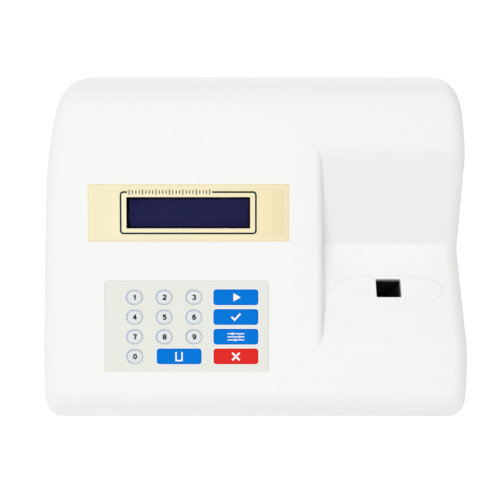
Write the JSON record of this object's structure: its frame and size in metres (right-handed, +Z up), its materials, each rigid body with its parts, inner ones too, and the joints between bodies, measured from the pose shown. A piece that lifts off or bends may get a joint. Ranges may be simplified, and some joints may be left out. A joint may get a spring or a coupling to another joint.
{
  "type": "bilirubin meter",
  "caption": "White bench-top photometer with a sloping deck, cream display panel, keypad of number and function keys, and a stepped-down bay with a cuvette slot.",
  "frame": {"origin": "centre of the bounding box on the table, under the rubber feet", "axes": "+X to the right as the user faces it, +Y to the back, +Z up"},
  "size_m": [0.282, 0.208, 0.1215],
  "materials": {
    "cover_plastic": "satin moulded",
    "plate_steel": "powder coat",
    "foot_rubber": "matte",
    "screw_steel": "zinc plated",
    "panel_cream": "satin film",
    "window_clear": "clear",
    "black_plastic": "fine grain",
    "display_navy": "polished",
    "diffuser_white": "satin",
    "board_green": "solder mask",
    "stud_brass": "turned",
    "ribbon_grey": "satin",
    "overlay_grey": "fine texture",
    "spacer_film": "film",
    "circuit_film": "film",
    "spring_steel": "bright",
    "key_pale": "satin",
    "key_blue": "satin",
    "key_red": "satin",
    "black_anodised": "black anodised",
    "optics_aluminium": "milled",
    "optical_glass": "polished",
    "lamp_ceramic": "matte",
    "lamp_glass": "polished",
    "filter_glass": "polished",
    "diode_metal": "gold plated",
    "component_black": "moulded",
    "core_steel": "varnished laminations",
    "coil_tape": "tape",
    "panel_aluminium": "satin",
    "pin_steel": "nickel plated",
    "fuse_glass": "clear",
    "rocker_red": "gloss"
  },
  "bodies": {
    "case": {"top_cover": "cover_plastic", "base_plate": "plate_steel", "rubber_feet": "foot_rubber", "cover_blocks": "cover_plastic", "cover_screws": "screw_steel", "display_panel": "panel_cream", "display_window": "window_clear", "lcd_bezel": "black_plastic", "lcd_glass": "display_navy", "lcd_backlight": "diffuser_white", "lcd_board": "board_green", "display_studs": "stud_brass", "display_ribbon": "ribbon_grey", "keypad_overlay": "overlay_grey", "keypad_spacer": "spacer_film", "keypad_circuit": "circuit_film", "snap_domes": "spring_steel", "keypad_tail": "circuit_film", "cuvette_holder": "black_anodised", "cuvette_spring": "spring_steel", "optics_plate": "optics_aluminium", "lens_tube": "black_anodised", "condenser_lens": "optical_glass", "lamp_housing": "optics_aluminium", "lamp_socket": "lamp_ceramic", "lamp_bulb": "lamp_glass", "detector_housing": "black_anodised", "beam_splitter": "optical_glass", "colour_filters": "filter_glass", "photodiodes": "diode_metal", "main_board": "board_green", "board_parts": "component_black", "board_standoffs": "stud_brass", "inner_screws": "screw_steel", "transformer_core": "core_steel", "transformer_coil": "coil_tape", "rear_panel": "panel_aluminium", "panel_screws": "screw_steel", "mains_inlet": "black_plastic", "inlet_pins": "pin_steel", "switch_body": "black_plastic"},
    "key_0_body": {"key_0": "key_pale"},
    "key_1_body": {"key_1": "key_pale"},
    "key_2_body": {"key_2": "key_pale"},
    "key_3_body": {"key_3": "key_pale"},
    "key_4_body": {"key_4": "key_pale"},
    "key_5_body": {"key_5": "key_pale"},
    "key_6_body": {"key_6": "key_pale"},
    "key_7_body": {"key_7": "key_pale"},
    "key_8_body": {"key_8": "key_pale"},
    "key_9_body": {"key_9": "key_pale"},
    "key_start_body": {"key_start": "key_blue"},
    "key_enter_body": {"key_enter": "key_blue"},
    "key_setup_body": {"key_setup": "key_blue"},
    "key_zero_body": {"key_zero": "key_blue"},
    "key_cancel_body": {"key_cancel": "key_red"},
    "fuse_drawer_body": {"fuse_drawer": "black_plastic", "fuse": "fuse_glass"},
    "switch_rocker_body": {"switch_rocker": "rocker_red"}
  },
  "joints": [
    {"name": "key_0_press", "type": "slide", "parent": "case", "child": "key_0_body", "axis": [0, 0.3907, -0.9205], "range_m": [0, 0.0004], "stiffness_N_per_m": 3000, "deforming": ["snap_domes"]},
    {"name": "key_1_press", "type": "slide", "parent": "case", "child": "key_1_body", "axis": [0, 0.3907, -0.9205], "range_m": [0, 0.0004], "stiffness_N_per_m": 3000, "deforming": ["snap_domes"]},
    {"name": "key_2_press", "type": "slide", "parent": "case", "child": "key_2_body", "axis": [0, 0.3907, -0.9205], "range_m": [0, 0.0004], "stiffness_N_per_m": 3000, "deforming": ["snap_domes"]},
    {"name": "key_3_press", "type": "slide", "parent": "case", "child": "key_3_body", "axis": [0, 0.3907, -0.9205], "range_m": [0, 0.0004], "stiffness_N_per_m": 3000, "deforming": ["snap_domes"]},
    {"name": "key_4_press", "type": "slide", "parent": "case", "child": "key_4_body", "axis": [0, 0.3907, -0.9205], "range_m": [0, 0.0004], "stiffness_N_per_m": 3000, "deforming": ["snap_domes"]},
    {"name": "key_5_press", "type": "slide", "parent": "case", "child": "key_5_body", "axis": [0, 0.3907, -0.9205], "range_m": [0, 0.0004], "stiffness_N_per_m": 3000, "deforming": ["snap_domes"]},
    {"name": "key_6_press", "type": "slide", "parent": "case", "child": "key_6_body", "axis": [0, 0.3907, -0.9205], "range_m": [0, 0.0004], "stiffness_N_per_m": 3000, "deforming": ["snap_domes"]},
    {"name": "key_7_press", "type": "slide", "parent": "case", "child": "key_7_body", "axis": [0, 0.3907, -0.9205], "range_m": [0, 0.0004], "stiffness_N_per_m": 3000, "deforming": ["snap_domes"]},
    {"name": "key_8_press", "type": "slide", "parent": "case", "child": "key_8_body", "axis": [0, 0.3907, -0.9205], "range_m": [0, 0.0004], "stiffness_N_per_m": 3000, "deforming": ["snap_domes"]},
    {"name": "key_9_press", "type": "slide", "parent": "case", "child": "key_9_body", "axis": [0, 0.3907, -0.9205], "range_m": [0, 0.0004], "stiffness_N_per_m": 3000, "deforming": ["snap_domes"]},
    {"name": "key_start_press", "type": "slide", "parent": "case", "child": "key_start_body", "axis": [0, 0.3907, -0.9205], "range_m": [0, 0.0004], "stiffness_N_per_m": 3000, "deforming": ["snap_domes"]},
    {"name": "key_enter_press", "type": "slide", "parent": "case", "child": "key_enter_body", "axis": [0, 0.3907, -0.9205], "range_m": [0, 0.0004], "stiffness_N_per_m": 3000, "deforming": ["snap_domes"]},
    {"name": "key_setup_press", "type": "slide", "parent": "case", "child": "key_setup_body", "axis": [0, 0.3907, -0.9205], "range_m": [0, 0.0004], "stiffness_N_per_m": 3000, "deforming": ["snap_domes"]},
    {"name": "key_zero_press", "type": "slide", "parent": "case", "child": "key_zero_body", "axis": [0, 0.3907, -0.9205], "range_m": [0, 0.0004], "stiffness_N_per_m": 3000, "deforming": ["snap_domes"]},
    {"name": "key_cancel_press", "type": "slide", "parent": "case", "child": "key_cancel_body", "axis": [0, 0.3907, -0.9205], "range_m": [0, 0.0004], "stiffness_N_per_m": 3000, "deforming": ["snap_domes"]},
    {"name": "fuse_drawer_slide", "type": "slide", "parent": "case", "child": "fuse_drawer_body", "axis": [0, 1, 0], "range_m": [0, 0.012]},
    {"name": "switch_rocker_turn", "type": "hinge", "parent": "case", "child": "switch_rocker_body", "pos_m": [-0.023, 0.0975, 0.053], "axis": [-1, 0, 0], "range_deg": [0, 20]}
  ]
}
